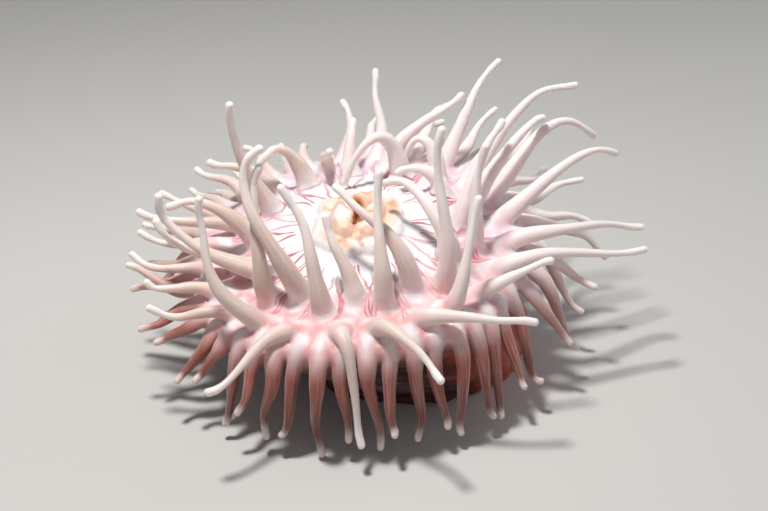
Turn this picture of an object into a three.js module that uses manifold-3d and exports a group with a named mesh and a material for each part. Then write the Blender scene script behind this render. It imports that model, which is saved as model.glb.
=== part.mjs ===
// A dahlia-type sea anemone, life size, in millimetres with +Z up. The origin is the middle of the
// flat underside of its foot. The front of the animal faces -Y.
//
// A stout column carries a wide oral disc, and four rings of tentacles grow from the disc. Each
// tentacle of the two inner rings is a mesh of its own. The margin of the disc is cut into equal
// blocks, and each block carries one tentacle of the third ring and two of the outer ring.

import * as THREE from 'three';
import { mergeVertices } from 'three/addons/utils/BufferGeometryUtils.js';
import Module from 'manifold-3d';

const wasm = await Module();
wasm.setup();

// ---------------------------------------------------------------- driving dimensions

const MOUTH_HEIGHT = 76;        // middle of the oral disc above the floor
const MOUTH_X = -23;            // the disc sits this far to the side of the foot's middle
const MOUTH_Y = -22;            // and this far to the front of it
const DISC_FALL = 0.003;        // the disc falls by this times the radius squared
const DISC_RISE_X = 0.095;      // slope of the tilted disc towards +X
const DISC_RISE_Y = 0.2;        // slope of the tilted disc towards +Y, so that it faces the front
const FRONT_LIFT = 10;          // the front of the margin is raised against the tilt by this
const LIFT_START = 38;          // distances to the front between which the raising begins
const LIFT_FULL = 81;           // and is complete
const TILT_START = 4;           // height on the column where lean and tilt begin
const TILT_FULL = 50;           // height where they are complete

const FOOT_TOP = 4.4;           // thickness of the pedal disc
const COLUMN_SPLIT = 24;        // height between lower and upper column
const COLUMN_TOP = 52;          // upper face of the column, inside the margin
const DISC_RADIUS = 58.3;       // where the oral disc ends and the margin blocks begin
const RIM_RADIUS = 73;          // where the disc's upper face rolls over into the margin
const LIP_RADIUS = 18.7;        // outer edge of the mouth's lips
const SEAT_RADII = [DISC_RADIUS, 55, 51, 47, 43, 38, 19];   // rings of facets where disc meets column
const LIP_FOLDS = 9;            // folds round the mouth
const FOLD_HEIGHT = 0.9;        // how far the folds rise and fall
const GAP = 0.3;                // clearance between neighbouring solids
const STANDING_GAP = 0.35;      // clearance below the tentacles that stand on the disc

const BLOCKS = 24;              // margin blocks, and facets round the body
const BLOCK_ANGLE = 360 / BLOCKS;

// Rings of tentacles: radius of the ring, radius of a tentacle at its root and just behind its tip, how
// fast it tapers (above 1 the root tapers faster than the rest), how far it snakes to either side per
// length, and how far it leaves the disc's normal (0) for the disc's outward slope (1).
const RINGS = {
  inner: { count: 12, radius: 46, root: 5.8, tip: 1.6, taper: 1.9, sway: 0.03, lie: 0.05 },
  second: { count: 12, radius: 53, root: 5.6, tip: 1.55, taper: 1.9, sway: 0.03, lie: 0.15 },
  third: { count: 24, radius: 64, root: 5.2, tip: 1.4, taper: 1.7, sway: 0.04, lie: 0.35 },
  outer: { count: 48, radius: 71.5, root: 3.9, tip: 1.25, taper: 1.2, sway: 0.05, lie: 0.75 },
};

// Facets round a tentacle, steps along it, and whether it is a mesh of its own that stands on the disc.
const FACETS = {
  inner: { sides: 6, steps: 6, stands: true },
  second: { sides: 6, steps: 6, stands: true },
  third: { sides: 5, steps: 5, stands: false },
  outer: { sides: 5, steps: 4, stands: false },
};
const KNOB = 0.35;              // how much thicker the blunt tip is
const KNOB_START = 0.84;        // share of the length where the tip begins to thicken
const KNOB_FULL = 0.94;
const ROOT_DEPTH = 0.5;         // the line starts this many root radii below the disc
const FIRST_REACH = 0.42;       // share of the length in which the root keeps its direction
const LAST_REACH = 0.3;         // share of the length in which the end keeps its direction
const ARCH_REACH = 0.3;         // an arching tentacle rises further by this
const DIVE_REACH = 0.5;         // one whose end turns up leaves its root's direction sooner by this
const BEND_REACH = 0.6;         // how far a bend of 1 moves the end's direction, per length
const CURL = 0.07;              // how far the tip curls to the side, per length
const CURL_START = 0.62;        // share of the length where the curl begins

const SAMPLES = 16;             // places along a tentacle where room is kept round it
const FREE_FROM = 6;            // the first of them that keeps clear of the body
const TENTACLE_GAP = 1.1;       // room kept between tentacles
const FLOOR_GAP = 1.5;          // room kept between tentacles and the floor
const SPREAD_ROUNDS = 70;       // rounds of moving the tentacles apart
const FAR_APART = 100;          // tentacles further apart than this can't touch

// ---------------------------------------------------------------- small helpers

const radians = (degrees) => degrees * Math.PI / 180;
const clamp = (x, low, high) => Math.min(high, Math.max(low, x));
const mix = (a, b, share) => a + (b - a) * share;
const twoDigits = (number) => String(number).padStart(2, '0');

function smoothstep(low, high, x) {
  const t = clamp((x - low) / (high - low), 0, 1);
  return t * t * (3 - 2 * t);
}

// A fixed scatter between -1 and 1 for item i, one for each kind.
function scatter(i, kind) {
  const s = Math.sin(i * 12.9898 + kind * 78.233) * 43758.5453;
  return 2 * (s - Math.floor(s)) - 1;
}

// ---------------------------------------------------------------- shape of the body

const discHeight = (radius) => MOUTH_HEIGHT - DISC_FALL * radius * radius;
const discPoint = (radius) => [radius, discHeight(radius)];

// How far a place on the upright body rises where the tilt is complete.
function rise(x, y) {
  return DISC_RISE_X * x + DISC_RISE_Y * y + FRONT_LIFT * smoothstep(LIFT_START, LIFT_FULL, -y);
}

// The body is drawn upright and round, and this leans it over to the side and tilts the disc.
function settle(x, y, z) {
  const share = smoothstep(TILT_START, TILT_FULL, z);
  return new THREE.Vector3(
    x + MOUTH_X * share,
    y + MOUTH_Y * share,
    z + share * rise(x, y),
  );
}

// The way back, found in a few steps: radius, height and direction on the upright body.
function upright(p) {
  let { x, y, z } = p;
  for (let pass = 0; pass < 12; pass++) {
    const share = smoothstep(TILT_START, TILT_FULL, z);
    x = p.x - MOUTH_X * share;
    y = p.y - MOUTH_Y * share;
    z = mix(z, p.z - share * rise(x, y), 0.6);
  }
  const radius = Math.max(Math.hypot(x, y), 1e-6);
  return { radius, z, alongX: x / radius, alongY: y / radius };
}

function onDisc(radius, azimuth) {
  const a = radians(azimuth);
  return settle(radius * Math.cos(a), radius * Math.sin(a), discHeight(radius));
}

// Directions at a place on the disc: its normal and the outward slope.
function discFrame(radius, azimuth) {
  const step = 0.5;
  const turn = step / radius * 180 / Math.PI;
  const slope = onDisc(radius + step, azimuth).sub(onDisc(radius - step, azimuth)).normalize();
  const around = onDisc(radius, azimuth + turn).sub(onDisc(radius, azimuth - turn)).normalize();
  return { normal: slope.clone().cross(around).normalize(), slope };
}

// Outlines as [radius, height] of the upright body. Each starts and ends at its inner side.
const FOOT = [[0, 0], [59.8, 0], [59.2, FOOT_TOP], [0, FOOT_TOP]];
const LOWER_COLUMN = [
  [0, FOOT_TOP + GAP], [59.2, FOOT_TOP + GAP], [63.4, 13], [65, COLUMN_SPLIT], [0, COLUMN_SPLIT],
];
const UPPER_COLUMN = [
  [0, COLUMN_SPLIT + GAP], [65, COLUMN_SPLIT + GAP], [65.6, 39], [66.2, 42.3],
  ...SEAT_RADII.map((r) => [r, COLUMN_TOP]), [0, COLUMN_TOP],
];
const ORAL_DISC = [
  ...SEAT_RADII.toReversed().map((r) => [r, COLUMN_TOP + GAP]),
  ...[DISC_RADIUS, 53, 47, 38, LIP_RADIUS + GAP].map(discPoint),
];
const MARGIN = [
  [DISC_RADIUS + GAP, COLUMN_TOP + GAP], [66.9, 41.9], [76.3, 50.6],
  discPoint(RIM_RADIUS), discPoint(DISC_RADIUS + GAP),
];

// The mouth's rings of points as [radius, height above the disc, depth of the folds, narrowing of
// the slit], from its foot up over the lips and down into the slit.
const MOUTH = [
  [LIP_RADIUS, COLUMN_TOP + GAP - MOUTH_HEIGHT, 0, 0], [LIP_RADIUS, -1.1, 0, 0], [15.5, 3.2, 1, 0],
  [11, 6.2, 1, 0.35], [6.5, 5, 1, 0.35], [3.4, -1, 1, 0.35],
];
const SLIT_FLOOR = -4;          // bottom of the slit, above the disc's middle

// The outer line of the whole body, from foot to mouth, that the tentacles keep clear of.
const OUTER_LINE = [
  ...FOOT.slice(1, -1), ...LOWER_COLUMN.slice(2, -1), UPPER_COLUMN[2], ...MARGIN.slice(1, 4),
  ...[66, DISC_RADIUS, 44, 31, 0].map(discPoint),
];

// ---------------------------------------------------------------- poses of the tentacles

// For each tentacle: azimuth of its root in degrees, the place of its tip, and how its end is bent:
// above 0 the tip turns down, below 0 it turns up. Some have a bow too: above 0 they bow towards +X
// behind the tip, below 0 towards -X.
const INNER_POSES = [
  [0, 40, -4, 119, 0.1], [32, -4, 2, 90, 0.7], [64, -29, 6, 84, 1.8], [96, -26, 38, 101, 0.25],
  [122, -71, 10, 94, 0.8, 0.1], [152, -80, -6, 124, -0.1, -0.15], [182, -109, -20, 86, 0.35],
  [211, -109, -42, 101, -0.45, -0.32], [239, -58.5, -48, 121, 0.15, -0.48], [270, -37, -60, 97, -0.05],
  [301, -33, -48, 102, 0.35], [332, -10, -24, 99, 0.5],
];
const SECOND_POSES = [
  [15, 65, 12, 114, 0.3], [46, -1, 23, 89, 1.9], [75, 27, 44, 112, 0.15, 0.12], [107, -39, 8, 98, 0.1],
  [136, -95, 12, 94, 0.05], [166, -125, -10, 76, -0.25], [197, -113, -38, 84, -0.3, -0.1],
  [225, -61.5, -52, 114, 0.1, -0.1], [255, -51, -60, 110, 0.05, 0.08], [283, -13, -60, 116, 0, -0.05],
  [315, 15, -52, 131, 0, -0.1], [345, 32, -36, 118, -0.1, -0.1],
];
const THIRD_POSES = [
  [7.5, 99, 10, 98, 0.4], [22.5, 89, 30, 102, 0.7],
  [37.5, 80, 46, 122, 0.2, -0.1], [52.5, 49, 58, 129, 0.1, -0.1],
  [67.5, 22, 80, 96, 0.1], [82.5, -18, 70, 115, -0.1, 0.12],
  [97.5, -31, 64, 102, 0.1, 0.25], [112.5, -55, 70, 75, 0.2],
  [127.5, -81, 58, 80, 0.15], [142.5, -105, 38, 76, 0.1],
  [157.5, -118, 16, 71, -0.1], [172.5, -127, -3, 60, -0.3],
  [187.5, -128, -29, 62, -0.35], [202.5, -118, -50, 62, -0.2, -0.1],
  [217.5, -113, -70, 56, -0.15], [232.5, -85, -68, 110, 0, -0.3],
  [247.5, -84, -114, 46, -0.1], [264, -19, -110, 17, 0.2],
  [277.5, 13, -120, 56, 0.2], [292.5, 51, -94, 62, 0.1],
  [307.5, 28, -64, 106, 0], [322.5, 61, -64, 77, 0.15],
  [337.5, 107, -28, 66, 0], [352.5, 112, -10, 70, 0],
];

// The outer ring follows one rule: round the rim, its tips lie at these distances from the disc's axis
// and at these heights, bent like this, with some scatter. It hangs low at the front and stands out at
// the back.
const OUTER_AZIMUTHS = [0, 22, 50, 110, 190, 225, 265, 310, 335, 360];
const OUTER_REACH = [112, 124, 118, 104, 105, 90, 81, 84, 95, 112];
const OUTER_HEIGHT = [34, 64, 84, 62, 46, 19, 9, 12, 19, 34];
const OUTER_BEND = [-0.05, 0, 0, 0, -0.1, -0.2, -0.2, -0.35, -0.35, -0.05];
const LEAST_LOOSE = 0.5;        // share of the scatter where they hang at the front
const REACH_SCATTER = 5;
const REACH_ZIGZAG = 3;         // every other tip is further out by this, and the rest further in
const HEIGHT_SCATTER = 8;
const HEIGHT_ZIGZAG = 6;
const SWING_SCATTER = 5;        // tips lie this far along the rim from their roots
const SWING_FORWARD = 4;        // those at the sides are swept towards the back
const BEND_SCATTER = 0.2;

// A value that runs smoothly through the given ones round the rim.
function roundRim(azimuth, values) {
  const after = OUTER_AZIMUTHS.findIndex((a) => a > azimuth);
  const share = smoothstep(OUTER_AZIMUTHS[after - 1], OUTER_AZIMUTHS[after], azimuth);
  return mix(values[after - 1], values[after], share);
}

function outerPose(_, i) {
  const azimuth = (i + 0.5) * 360 / RINGS.outer.count;
  const a = radians(azimuth);
  const side = i % 2 ? 1 : -1;
  const middle = roundRim(azimuth, OUTER_HEIGHT);
  const loose = mix(LEAST_LOOSE, 1, smoothstep(10, 50, middle));
  const reachLoose = REACH_SCATTER * scatter(i, 1) + REACH_ZIGZAG * side;
  const reach = roundRim(azimuth, OUTER_REACH) + loose * reachLoose;
  const height = middle + loose * (HEIGHT_SCATTER * scatter(i, 2) + HEIGHT_ZIGZAG * side);
  const swing = a + (SWING_SCATTER * scatter(i, 3) + SWING_FORWARD * Math.cos(a)) / reach;
  const x = MOUTH_X + reach * Math.cos(swing);
  const y = MOUTH_Y + reach * Math.sin(swing);
  const bend = roundRim(azimuth, OUTER_BEND) + BEND_SCATTER * scatter(i, 4);
  return [azimuth, x, y, height, bend];
}
const OUTER_POSES = Array.from({ length: RINGS.outer.count }, outerPose);

const POSES = { inner: INNER_POSES, second: SECOND_POSES, third: THIRD_POSES, outer: OUTER_POSES };

// How readily a ring's tentacles give way to the others.
const GIVE = { inner: 0.35, second: 0.45, third: 0.7, outer: 1 };

// ---------------------------------------------------------------- lines of the tentacles

// Radius of a ring's tentacle at share t of its length.
function girth(t, { root, tip, taper }) {
  const cone = (root - tip) * Math.pow(1 - t, taper);
  return tip + cone + KNOB * smoothstep(KNOB_START, KNOB_FULL, t);
}

function makeTentacle(ring, number, [azimuth, x, y, z, bend, bow = 0]) {
  const { radius, root, sway, lie } = RINGS[ring];
  const { normal, slope } = discFrame(radius, azimuth);
  const start = onDisc(radius, azimuth).addScaledVector(normal, -ROOT_DEPTH * root);
  const tip = new THREE.Vector3(x, y, z);
  const chord = tip.clone().sub(start);
  const length = chord.length();
  const leave = normal.clone().lerp(slope, lie).normalize();
  const firstReach = FIRST_REACH + ARCH_REACH * Math.max(bend, 0) + DIVE_REACH * Math.min(bend, 0);
  const first = start.clone().addScaledVector(leave, firstReach * length);
  const last = tip.clone().addScaledVector(chord, -LAST_REACH);
  last.x += bow * length;
  last.z += bend * length * BEND_REACH;
  const curve = new THREE.CubicBezierCurve3(start, first, last, tip);
  const side = chord.clone().cross(normal).normalize();
  const rest = Array.from({ length: SAMPLES }, (_, j) => {
    const t = j / (SAMPLES - 1);
    const snake = sway * length * Math.sin(2 * Math.PI * Math.pow(t, 1.3)) * smoothstep(0, 0.4, t);
    const curl = CURL * length * Math.pow(smoothstep(CURL_START, 1, t), 1.5);
    const sideways = snake * scatter(number, 5 + radius) + curl * scatter(number, 7 + radius);
    const upward = 0.7 * snake * scatter(number, 6 + radius) + curl * scatter(number, 8 + radius);
    return curve.getPoint(t).addScaledVector(side, sideways).addScaledVector(normal, upward);
  });
  const radii = rest.map((_, j) => girth(j / (SAMPLES - 1), RINGS[ring]));
  return { ring, number, rest, points: rest.map((p) => p.clone()), radii, give: GIVE[ring] };
}

// Distance of a point from the body's outer line, below 0 inside, and the way out.
function bodyDistance(p) {
  const { radius, z, alongX, alongY } = upright(p);
  let best = Infinity;
  let away = [1, 0];
  let sign = 1;
  for (let i = 0; i < OUTER_LINE.length - 1; i++) {
    const [r0, z0] = OUTER_LINE[i];
    const dr = OUTER_LINE[i + 1][0] - r0;
    const dz = OUTER_LINE[i + 1][1] - z0;
    const t = clamp(((radius - r0) * dr + (z - z0) * dz) / (dr * dr + dz * dz), 0, 1);
    const offR = radius - r0 - t * dr;
    const offZ = z - z0 - t * dz;
    const off = Math.hypot(offR, offZ);
    if (off < best) {
      best = off;
      away = [offR, offZ];
      sign = dr * offZ - dz * offR > 0 ? -1 : 1;
    }
  }
  const size = Math.max(best, 1e-6) * sign;
  const out = new THREE.Vector3(away[0] * alongX, away[0] * alongY, away[1]).divideScalar(size);
  return { distance: best * sign, out };
}

const stillLine = () => Array.from({ length: SAMPLES }, () => new THREE.Vector3());

// Pushes two tentacles apart where they come too close.
function pushPair(a, b, pushA, pushB) {
  if (a.rest[SAMPLES / 2].distanceTo(b.rest[SAMPLES / 2]) > FAR_APART) return;
  const way = new THREE.Vector3();
  const shareA = a.give / (a.give + b.give);
  for (let j = 2; j < SAMPLES; j++) {
    for (let k = 2; k < SAMPLES; k++) {
      way.subVectors(a.points[j], b.points[k]);
      const distance = way.length();
      const need = a.radii[j] + b.radii[k] + TENTACLE_GAP - distance;
      if (need > 0) {
        way.multiplyScalar(0.6 * need / Math.max(distance, 1e-6));
        pushA[j].addScaledVector(way, shareA);
        pushB[k].addScaledVector(way, shareA - 1);
      }
    }
  }
}

// Pushes a tentacle off the body and off the floor.
function pushOff(tentacle, push) {
  for (let j = FREE_FROM; j < SAMPLES; j++) {
    const p = tentacle.points[j];
    const { distance, out } = bodyDistance(p);
    const need = tentacle.radii[j] + TENTACLE_GAP - distance;
    if (need > 0) push[j].addScaledVector(out, 0.5 * need);
    push[j].z += Math.max(0, tentacle.radii[j] + FLOOR_GAP - p.z);
  }
}

// Moves the tentacles apart, off the body and off the floor, and keeps each line smooth.
function spread(tentacles) {
  const last = SAMPLES - 1;
  const moves = tentacles.map(stillLine);
  for (let round = 0; round < SPREAD_ROUNDS; round++) {
    const push = tentacles.map(stillLine);
    for (let a = 0; a < tentacles.length; a++) {
      for (let b = a + 1; b < tentacles.length; b++) pushPair(tentacles[a], tentacles[b], push[a], push[b]);
      pushOff(tentacles[a], push[a]);
    }
    tentacles.forEach((tentacle, i) => {
      const pushed = moves[i].map((move, j) => (j ? move.add(push[i][j]).clone() : move));
      for (let j = 1; j < last; j++) {
        moves[i][j].lerp(pushed[j - 1].clone().add(pushed[j + 1]).multiplyScalar(0.5), 0.5);
      }
      moves[i][last].lerp(pushed[last - 1], 0.3);
      moves[i].forEach((move, j) => tentacle.points[j].addVectors(tentacle.rest[j], move));
    });
  }
}

// ---------------------------------------------------------------- closed meshes

function meshGeometry(vertices, triangles) {
  const geometry = new THREE.BufferGeometry();
  const numbers = vertices.flatMap((v) => [v.x, v.y, v.z]);
  geometry.setAttribute('position', new THREE.Float32BufferAttribute(numbers, 3));
  geometry.setIndex(triangles.flat());
  return geometry;
}

// Loops of equal count joined side by side. Both ends are left for the caller to close.
function loft(loops) {
  const sides = loops[0].length;
  const triangles = [];
  for (let i = 0; i < loops.length - 1; i++) {
    for (let s = 0; s < sides; s++) {
      const here = i * sides + s;
      const next = i * sides + (s + 1) % sides;
      triangles.push([here, next, next + sides], [here, next + sides, here + sides]);
    }
  }
  return { vertices: loops.flat(), triangles, lastLoop: (loops.length - 1) * sides };
}

// The place on the disc below a point, with the gap to the disc's facets.
function setOnDisc(p) {
  const x = p.x - MOUTH_X;
  const y = p.y - MOUTH_Y;
  const { z } = settle(x, y, discHeight(Math.hypot(x, y)));
  return new THREE.Vector3(p.x, p.y, z + STANDING_GAP);
}

// A tapered tentacle round its line: loops of facets, a flat root and a blunt point at the tip.
function tentacleGeometry(tentacle) {
  const { sides, steps, stands } = FACETS[tentacle.ring];
  const line = new THREE.CatmullRomCurve3(tentacle.points, false, 'centripetal');
  const facetGrowth = Math.sqrt(Math.PI / (sides / 2 * Math.sin(2 * Math.PI / sides)));
  const lastLoopShare = 0.965;
  const across = new THREE.Vector3(0.31, 0.95, 0.02);
  const loops = [];
  for (let i = 0; i <= steps; i++) {
    const t = i / steps * lastLoopShare;
    const along = line.getTangent(t);
    across.addScaledVector(along, -across.dot(along)).normalize();
    const third = along.clone().cross(across);
    const radius = girth(t, RINGS[tentacle.ring]) * facetGrowth;
    const loop = Array.from({ length: sides }, (_, s) => {
      const a = 2 * Math.PI * s / sides;
      const edge = line.getPoint(t).addScaledVector(across, radius * Math.cos(a));
      return edge.addScaledVector(third, radius * Math.sin(a));
    });
    loops.push(i === 0 && stands ? loop.map(setOnDisc) : loop);
  }
  const { vertices, triangles, lastLoop } = loft(loops);
  const tip = vertices.length;
  vertices.push(line.getPoint(1).addScaledVector(line.getTangent(1), 0.6 * RINGS[tentacle.ring].tip));
  for (let s = 0; s < sides; s++) triangles.push([lastLoop + s, lastLoop + (s + 1) % sides, tip]);
  for (let s = 2; s < sides; s++) triangles.push([0, s, s - 1]);
  return meshGeometry(vertices, triangles);
}

function withoutFlatTriangles(geometry) {
  const index = Array.from(geometry.getIndex().array);
  const kept = [];
  for (let i = 0; i < index.length; i += 3) {
    const [a, b, c] = index.slice(i, i + 3);
    if (a !== b && b !== c && c !== a) kept.push(a, b, c);
  }
  geometry.setIndex(kept);
  return geometry;
}

// A round solid from an outline, leaned and tilted with the body.
function bodyGeometry(outline) {
  const closed = outline[0][0] > 0 ? [...outline, outline[0]] : outline;
  const turned = new THREE.LatheGeometry(closed.map(([r, z]) => new THREE.Vector2(r, z)), BLOCKS);
  turned.deleteAttribute('normal');
  turned.deleteAttribute('uv');
  const geometry = mergeVertices(turned, 1e-3);
  const position = geometry.getAttribute('position');
  for (let i = 0; i < position.count; i++) {
    const p = settle(position.getZ(i), position.getX(i), position.getY(i));
    position.setXYZ(i, p.x, p.y, p.z);
  }
  return withoutFlatTriangles(geometry);
}

// One block of the margin, between two azimuths, with half the gap left at each side.
function marginGeometry(block) {
  const loops = [1, 0].map((side) => {
    const a = radians((block + side) * BLOCK_ANGLE);
    const shift = (side ? -1 : 1) * GAP / 2;
    return MARGIN.map(([r, z]) => settle(
      r * Math.cos(a) - shift * Math.sin(a),
      r * Math.sin(a) + shift * Math.cos(a),
      z,
    ));
  });
  const { vertices, triangles, lastLoop } = loft(loops);
  const face = THREE.ShapeUtils.triangulateShape(MARGIN.map(([r, z]) => new THREE.Vector2(r, z)), []);
  for (const [a, b, c] of face) triangles.push([a, c, b], [a + lastLoop, b + lastLoop, c + lastLoop]);
  return meshGeometry(vertices, triangles);
}

// The mouth: a plug in the disc with folded lips round a slit that runs from front to back.
function mouthGeometry() {
  const loops = MOUTH.map(([r, rise, folds, narrowing]) => Array.from({ length: BLOCKS }, (_, s) => {
    const a = 2 * Math.PI * s / BLOCKS;
    const narrow = 1 - narrowing * Math.abs(Math.cos(a));
    const height = MOUTH_HEIGHT + rise + folds * FOLD_HEIGHT * Math.cos(LIP_FOLDS * a);
    return settle(r * narrow * Math.cos(a), r * Math.sin(a), height);
  }));
  const { vertices, triangles, lastLoop } = loft(loops);
  const top = vertices.length;
  vertices.push(settle(0, 0, MOUTH_HEIGHT + SLIT_FLOOR), settle(0, 0, COLUMN_TOP + GAP));
  for (let s = 0; s < BLOCKS; s++) {
    const next = (s + 1) % BLOCKS;
    triangles.push([lastLoop + s, lastLoop + next, top], [next, s, top + 1]);
  }
  return meshGeometry(vertices, triangles);
}

// ---------------------------------------------------------------- joining

function toSolid(geometry) {
  const merged = mergeVertices(geometry, 1e-4);
  return new wasm.Manifold(new wasm.Mesh({
    numProp: 3,
    vertProperties: new Float32Array(merged.getAttribute('position').array),
    triVerts: new Uint32Array(merged.getIndex().array),
  }));
}

function toGeometry(solid) {
  const mesh = solid.getMesh();
  const geometry = new THREE.BufferGeometry();
  geometry.setAttribute('position', new THREE.BufferAttribute(mesh.vertProperties, 3));
  geometry.setIndex(new THREE.BufferAttribute(mesh.triVerts, 1));
  return geometry;
}

// ---------------------------------------------------------------- materials

const flesh = (color, roughness) => new THREE.MeshStandardMaterial({ color, roughness, metalness: 0 });
const MATERIALS = {
  foot: flesh(0x7a2418, 0.6),
  column: flesh(0x8c2a20, 0.55),
  disc: flesh(0xf2dede, 0.45),
  lips: flesh(0xf0b98c, 0.4),
  tentacle: flesh(0xf0d2cd, 0.4),
  margin: flesh(0xe8b5b0, 0.45),
};

// ---------------------------------------------------------------- assembly

const animal = new THREE.Group();

function add(name, geometry, material) {
  const mesh = new THREE.Mesh(geometry, material);
  mesh.name = name;
  animal.add(mesh);
}

const tentacles = [];
for (const [ring, poses] of Object.entries(POSES)) {
  poses.forEach((pose, i) => tentacles.push(makeTentacle(ring, i, pose)));
}
spread(tentacles);
const ofRing = (ring) => tentacles.filter((tentacle) => tentacle.ring === ring);

add('pedal_disc', bodyGeometry(FOOT), MATERIALS.foot);
add('column_lower', bodyGeometry(LOWER_COLUMN), MATERIALS.column);
add('column_upper', bodyGeometry(UPPER_COLUMN), MATERIALS.column);
add('oral_disc', bodyGeometry(ORAL_DISC), MATERIALS.disc);
add('mouth', mouthGeometry(), MATERIALS.lips);

for (const tentacle of [...ofRing('inner'), ...ofRing('second')]) {
  const name = `tentacle_${tentacle.ring}_${twoDigits(tentacle.number + 1)}`;
  add(name, tentacleGeometry(tentacle), MATERIALS.tentacle);
}

const third = ofRing('third');
const outer = ofRing('outer');
for (let block = 0; block < BLOCKS; block++) {
  const growing = [third[block], outer[2 * block], outer[2 * block + 1]];
  const joined = growing.reduce(
    (solid, tentacle) => solid.add(toSolid(tentacleGeometry(tentacle))),
    toSolid(marginGeometry(block)),
  );
  add(`margin_${twoDigits(block + 1)}`, toGeometry(joined), MATERIALS.margin);
}

export default animal;
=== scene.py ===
# A dahlia-type sea anemone, made as one skin of flesh over the frame's solids. Sizes are in mm, in
# the frame's axes, until the skin becomes a mesh in metres.

import math

import bpy
import numpy as np
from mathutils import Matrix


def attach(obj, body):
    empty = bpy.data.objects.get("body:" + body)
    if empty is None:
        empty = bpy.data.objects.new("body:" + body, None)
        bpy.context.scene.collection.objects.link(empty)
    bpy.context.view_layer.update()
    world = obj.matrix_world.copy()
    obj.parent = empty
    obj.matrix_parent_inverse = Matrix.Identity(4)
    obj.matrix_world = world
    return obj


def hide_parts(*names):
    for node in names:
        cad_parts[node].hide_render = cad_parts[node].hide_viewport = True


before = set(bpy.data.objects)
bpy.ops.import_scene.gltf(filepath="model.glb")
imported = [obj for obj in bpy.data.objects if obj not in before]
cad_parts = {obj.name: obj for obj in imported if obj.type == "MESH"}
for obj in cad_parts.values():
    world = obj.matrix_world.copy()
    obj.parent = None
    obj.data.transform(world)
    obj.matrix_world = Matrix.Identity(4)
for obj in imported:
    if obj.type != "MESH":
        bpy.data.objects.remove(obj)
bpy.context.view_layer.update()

import openvdb
from mathutils import Vector

scene = bpy.context.scene
MM = 0.001

# ---------------------------------------------------------------- camera

camera_data = bpy.data.cameras.new("camera")
camera_data.lens = 60
camera_data.sensor_width = 36
camera = bpy.data.objects.new("camera", camera_data)
camera.location = (-0.011036, -0.549293, 0.338908)
camera.rotation_euler = (math.radians(62), 0, 0)
scene.collection.objects.link(camera)
scene.camera = camera

# ---------------------------------------------------------------- sizes that the frame has too

MOUTH_HEIGHT = 76               # of the mouth on the upright body
MOUTH_X = -23                   # how far the lean carries the mouth
MOUTH_Y = -22
DISC_FALL = 0.003               # how fast the disc falls away from the mouth
DISC_RISE_X = 0.095             # slopes of the tilted disc
DISC_RISE_Y = 0.2
FRONT_LIFT = 10                 # the front of the margin is lifted by this
LIFT_START = 38
LIFT_FULL = 81
TILT_START = 4                  # heights between which lean and tilt set in
TILT_FULL = 50

# Each ring's roots stand at one radius. lie says how far they lean outwards, and give how easily they
# are moved aside.
RINGS = {
    "inner": dict(count=12, radius=46, root=5.8, tip=1.6, taper=1.9, sway=0.03, lie=0.05, give=0.35),
    "second": dict(count=12, radius=53, root=5.6, tip=1.55, taper=1.9, sway=0.03, lie=0.15, give=0.45),
    "third": dict(count=24, radius=64, root=5.2, tip=1.4, taper=1.7, sway=0.04, lie=0.35, give=0.7),
    "outer": dict(count=48, radius=71.5, root=3.9, tip=1.25, taper=1.2, sway=0.05, lie=0.75, give=1.0),
}
KNOB = 0.35                     # swelling behind the tip, and where it starts and is full
KNOB_START = 0.84
KNOB_FULL = 0.94
ROOT_DEPTH = 0.5                # a line starts this many root radii inside the disc
FIRST_REACH = 0.42              # lengths of the handles of a line, as shares of its chord
LAST_REACH = 0.3
ARCH_REACH = 0.3
DIVE_REACH = 0.5
BEND_REACH = 0.6
CURL = 0.07
CURL_START = 0.62

SAMPLES = 16                    # places along a tentacle that are moved apart
FREE_FROM = 6                   # the first of them that stays clear of the body
TENTACLE_GAP = 1.1
FLOOR_GAP = 1.5
SPREAD_ROUNDS = 70
FAR_APART = 100                 # tentacles whose middles are further apart can't meet


def disc_height(radius):
    return MOUTH_HEIGHT - DISC_FALL * radius ** 2


# The outer line of the frame's body as [radius, height], upright.
FRAME_LINE = [
    [59.8, 0], [59.2, 4.4], [63.4, 13], [65, 24], [65.6, 39], [66.9, 41.9], [76.3, 50.6],
] + [[r, disc_height(r)] for r in (73, 66, 58.3, 44, 31, 0)]

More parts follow.
